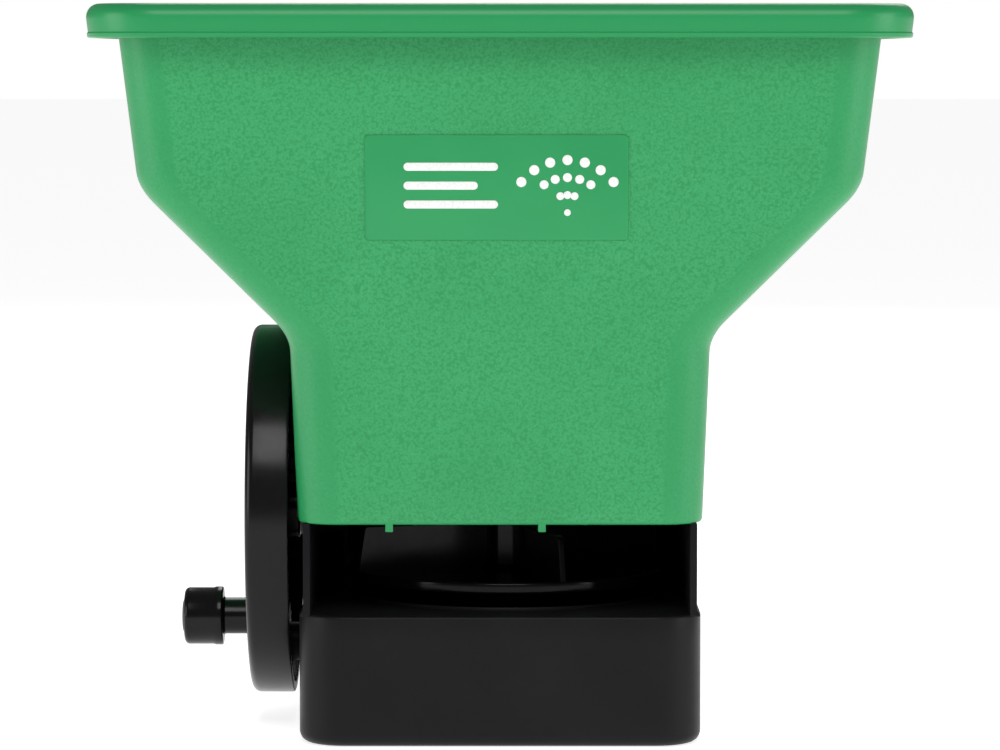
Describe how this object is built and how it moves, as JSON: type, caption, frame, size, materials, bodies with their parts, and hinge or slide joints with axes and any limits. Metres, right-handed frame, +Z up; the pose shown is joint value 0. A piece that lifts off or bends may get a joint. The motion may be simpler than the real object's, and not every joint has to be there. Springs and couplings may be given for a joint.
{
  "type": "garden spreader",
  "caption": "Hand-cranked broadcast spreader: open hopper over a vaned disc, geared crank wheel at the side, rear loop grip with a gate trigger.",
  "frame": {"origin": "centre of the flat underside of the bottom cover", "axes": "+Z up, front discharge opening faces -Y, crank wheel on the -X side"},
  "size_m": [0.248, 0.2131, 0.2224],
  "materials": {
    "hopper_green": "fine grained satin",
    "label_green": "smooth satin film",
    "black_plastic": "satin",
    "black_gloss": "semi gloss",
    "disc_plastic": "gloss",
    "dial_grey": "satin",
    "nylon": "satin",
    "steel": "zinc plated"
  },
  "bodies": {
    "base": {"hopper": "hopper_green", "label_plate": "label_green", "housing": "black_plastic", "bottom_cover": "black_plastic", "cover_screws": "steel", "hopper_screws": "steel", "wheel_axle": "steel", "thrust_washer": "nylon", "axle_washer": "steel", "axle_screw": "steel", "layshaft_bush": "nylon", "bearing_block": "black_plastic", "block_bush": "nylon", "foot_bush": "nylon", "deck_bush": "black_plastic", "floor_bush": "nylon", "gate_guide": "black_plastic", "guide_screws": "steel", "trigger_pin": "steel", "trigger_spring": "steel", "grip_left": "black_plastic", "grip_right": "black_plastic", "grip_screws": "steel", "handle_screws": "steel"},
    "wheel": {"crank_wheel": "black_gloss", "crank_pin": "steel", "knob_screw": "steel"},
    "knob": {"knob": "black_gloss", "knob_cap": "black_gloss"},
    "layshaft": {"drive_pinion": "nylon", "layshaft": "steel", "layshaft_bevel": "nylon"},
    "spinner": {"spinner_bevel": "nylon", "spinner_shaft": "steel", "spinner_disc": "disc_plastic", "agitator": "black_plastic"},
    "gate": {"flow_gate": "black_plastic", "gate_rod": "steel"},
    "trigger": {"trigger": "black_gloss", "link_pin": "steel"},
    "dial": {"flow_dial": "dial_grey", "dial_cam": "dial_grey"}
  },
  "joints": [
    {"name": "crank_spin", "type": "hinge", "parent": "base", "child": "wheel", "pos_m": [-0.07, 0, 0.0655], "axis": [1, 0, 0], "continuous": true},
    {"name": "knob_spin", "type": "hinge", "parent": "wheel", "child": "knob", "pos_m": [-0.09, 0, 0.0315], "axis": [1, 0, 0], "continuous": true},
    {"name": "layshaft_spin", "type": "hinge", "parent": "base", "child": "layshaft", "pos_m": [-0.04, 0, 0.0235], "axis": [1, 0, 0], "continuous": true},
    {"name": "spinner_spin", "type": "hinge", "parent": "base", "child": "spinner", "pos_m": [0.0024, 0, 0.05], "axis": [0, 0, 1], "continuous": true},
    {"name": "trigger_pull", "type": "hinge", "parent": "base", "child": "trigger", "pos_m": [0, 0.088, 0.116], "axis": [1, 0, 0], "range_deg": [0, 18], "stiffness_Nm_per_rad": 0.5, "springref_deg": -5.73, "deforming": ["trigger_spring"]},
    {"name": "gate_slide", "type": "slide", "parent": "base", "child": "gate", "axis": [0, 1, 0], "range_m": [0, 0.0142]},
    {"name": "dial_turn", "type": "hinge", "parent": "base", "child": "dial", "pos_m": [0.01, 0.101, 0.137], "axis": [1, 0, 0], "range_deg": [0, 150]}
  ],
  "couplings": [
    {"joint": "layshaft_spin", "follows": "crank_spin", "ratio": 5},
    {"joint": "spinner_spin", "follows": "crank_spin", "ratio": -5},
    {"joint": "gate_slide", "follows": "trigger_pull", "m_per_rad": 0.045}
  ]
}
